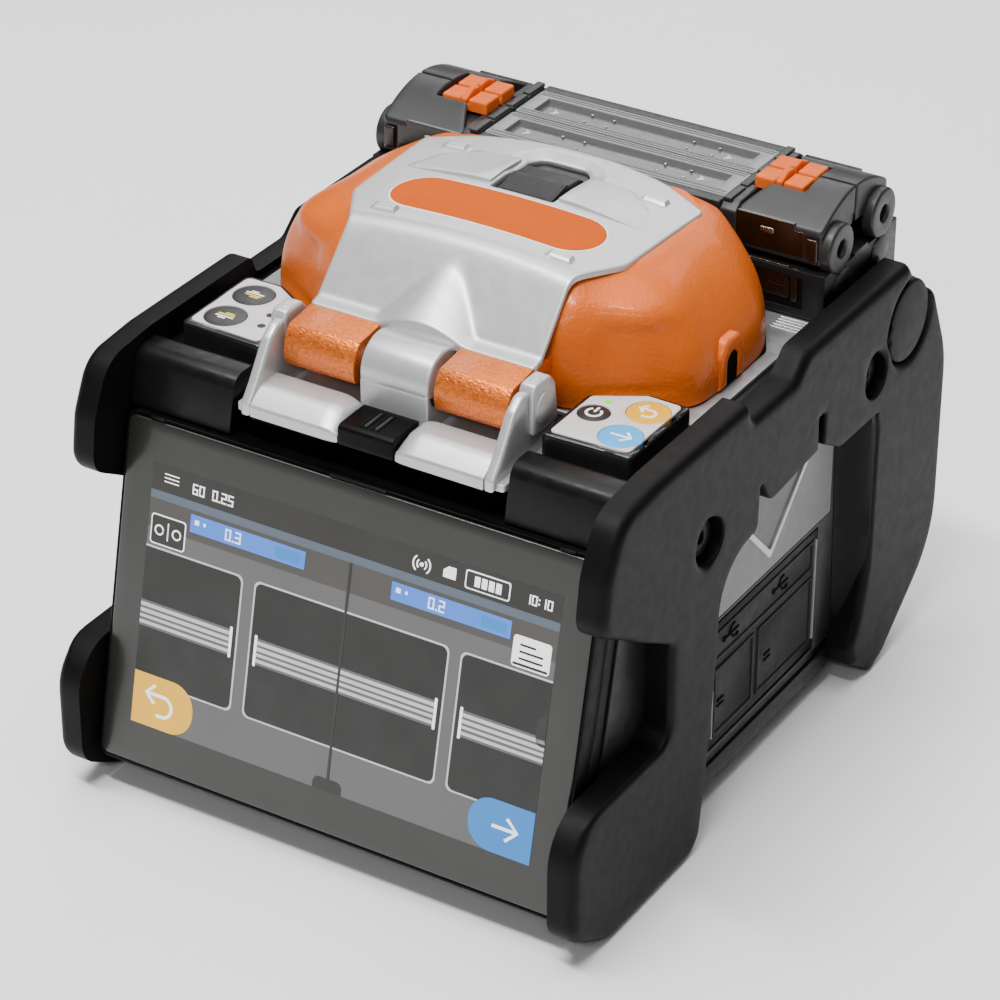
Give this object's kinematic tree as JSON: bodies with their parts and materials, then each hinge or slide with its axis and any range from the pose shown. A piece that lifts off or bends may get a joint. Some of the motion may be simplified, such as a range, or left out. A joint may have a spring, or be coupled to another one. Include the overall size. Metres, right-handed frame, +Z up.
{
  "type": "fiber fusion splicer",
  "caption": "Compact fiber fusion splicer with a tilted touch monitor, front-hinged hood over the splicing well, twin-lid tube heater and rubber side protectors.",
  "frame": {"origin": "on the floor at the centre of the footprint, level with the undersides of the protector feet", "axes": "+Z up, -Y towards the monitor and the operator, +X to the operator's right"},
  "size_m": [0.14, 0.177, 0.135],
  "materials": {
    "case_plastic": "fine moulded texture",
    "battery_plastic": "fine moulded texture",
    "deck_metal": "bead-blasted die casting",
    "monitor_plastic": "satin moulded",
    "display": "lit liquid-crystal panel",
    "touch_glass": "dark cover glass with a printed border",
    "side_grey": "smooth grey paint",
    "protector_rubber": "matt moulded elastomer",
    "steel": "bright",
    "brass": "turned",
    "door_plastic": "satin moulded",
    "circuit_board": "solder mask",
    "orange_plastic": "moulded",
    "fan_plastic": "moulded",
    "silver_paint": "fine metallic paint",
    "orange_paint": "satin metallic paint with an orange-peel grain",
    "label_film": "printed film",
    "latch_plastic": "ribbed grip",
    "gasket_rubber": "foam strip",
    "keypad_frame": "satin moulded",
    "keypad_film": "printed film",
    "key_black": "printed",
    "key_yellow": "printed",
    "key_blue": "printed",
    "ceramic": "ground ceramic",
    "dark_metal": "black anodised",
    "lamp_plastic": "clear lens",
    "heater_plastic": "heat-resistant, semi-gloss",
    "clear_lid": "clear moulded lid",
    "tab_plastic": "moulded"
  },
  "bodies": {
    "chassis": {"base_tray": "case_plastic", "main_case": "case_plastic", "deck_plate": "deck_metal", "monitor_back": "monitor_plastic", "monitor_bezel": "monitor_plastic", "lcd_panel": "display", "touch_glass": "touch_glass", "side_panel_left": "side_grey", "side_panel_right": "side_grey", "protector_left": "protector_rubber", "protector_right": "protector_rubber", "protector_screws": "steel", "case_screws": "steel", "tripod_bush": "brass", "port_panel": "case_plastic", "main_board": "circuit_board", "power_board": "circuit_board", "battery_pack": "battery_plastic", "dc_inlet": "case_plastic", "fan_frame": "fan_plastic", "hinge_bracket": "silver_paint", "bracket_insert": "monitor_plastic", "hood_hinge_pin": "steel", "keypad_left": "keypad_frame", "keypad_right": "keypad_frame", "keypad_film_left": "keypad_film", "keypad_film_right": "keypad_film", "splice_base": "deck_metal", "v_groove_blocks": "ceramic", "electrode_holders": "latch_plastic", "electrodes": "steel", "objective_lenses": "brass", "microscope_tubes": "dark_metal", "alignment_motors": "deck_metal", "led_lamps": "lamp_plastic", "sheath_clamp_bases": "deck_metal", "heater_housing": "heater_plastic", "heater_plates": "ceramic"},
    "hood": {"hood_shell": "orange_paint", "hood_plate": "silver_paint", "hood_label": "label_film", "hood_gasket": "gasket_rubber", "hood_fiber_clamps": "steel"},
    "latch": {"hood_latch": "latch_plastic"},
    "front_lid": {"heater_lid_front": "clear_lid", "heater_cover_front": "heater_plastic", "heater_tabs_front": "tab_plastic"},
    "rear_lid": {"heater_lid_rear": "clear_lid", "heater_cover_rear": "heater_plastic", "heater_tabs_rear": "tab_plastic"},
    "left_clamp": {"sheath_clamp_left": "dark_metal"},
    "right_clamp": {"sheath_clamp_right": "dark_metal"},
    "door": {"port_door": "door_plastic"},
    "key_heat": {"heat_key": "key_black"},
    "key_arc": {"arc_key": "key_black"},
    "key_power": {"power_key": "key_black"},
    "key_return": {"return_key": "key_yellow"},
    "key_next": {"next_key": "key_blue"},
    "fan": {"fan_rotor": "fan_plastic"},
    "battery_release": {"battery_latch": "orange_plastic"}
  },
  "joints": [
    {"name": "hood_hinge", "type": "hinge", "parent": "chassis", "child": "hood", "pos_m": [0, -0.043, 0.1105], "axis": [1, 0, 0], "range_deg": [0, 95]},
    {"name": "hood_latch_slide", "type": "slide", "parent": "hood", "child": "latch", "axis": [0, 1, 0], "range_m": [0, 0.002], "stiffness_N_per_m": 300},
    {"name": "front_lid_hinge", "type": "hinge", "parent": "chassis", "child": "front_lid", "pos_m": [0, 0.0368, 0.1256], "axis": [1, 0, 0], "range_deg": [0, 85]},
    {"name": "rear_lid_hinge", "type": "hinge", "parent": "chassis", "child": "rear_lid", "pos_m": [0, 0.0708, 0.1256], "axis": [1, 0, 0], "range_deg": [-85, 0]},
    {"name": "left_clamp_hinge", "type": "hinge", "parent": "chassis", "child": "left_clamp", "pos_m": [-0.0345, 0.009, 0.1082], "axis": [1, 0, 0], "range_deg": [-85, 0]},
    {"name": "right_clamp_hinge", "type": "hinge", "parent": "chassis", "child": "right_clamp", "pos_m": [0.0345, 0.009, 0.1082], "axis": [1, 0, 0], "range_deg": [-85, 0]},
    {"name": "door_hinge", "type": "hinge", "parent": "chassis", "child": "door", "pos_m": [0.0621, 0.0095, 0.0161], "axis": [0, 1, 0], "range_deg": [0, 100]},
    {"name": "heat_key_press", "type": "slide", "parent": "chassis", "child": "key_heat", "axis": [0, 0, -1], "range_m": [0, 0.0005], "stiffness_N_per_m": 600},
    {"name": "arc_key_press", "type": "slide", "parent": "chassis", "child": "key_arc", "axis": [0, 0, -1], "range_m": [0, 0.0005], "stiffness_N_per_m": 600},
    {"name": "power_key_press", "type": "slide", "parent": "chassis", "child": "key_power", "axis": [0, 0, -1], "range_m": [0, 0.0005], "stiffness_N_per_m": 600},
    {"name": "return_key_press", "type": "slide", "parent": "chassis", "child": "key_return", "axis": [0, 0, -1], "range_m": [0, 0.0005], "stiffness_N_per_m": 600},
    {"name": "next_key_press", "type": "slide", "parent": "chassis", "child": "key_next", "axis": [0, 0, -1], "range_m": [0, 0.0005], "stiffness_N_per_m": 600},
    {"name": "fan_spin", "type": "hinge", "parent": "chassis", "child": "fan", "pos_m": [-0.032, 0.058, 0.072], "axis": [0, 1, 0], "continuous": true},
    {"name": "battery_release_slide", "type": "slide", "parent": "chassis", "child": "battery_release", "axis": [0, 0, 1], "range_m": [0, 0.0025], "stiffness_N_per_m": 300}
  ]
}
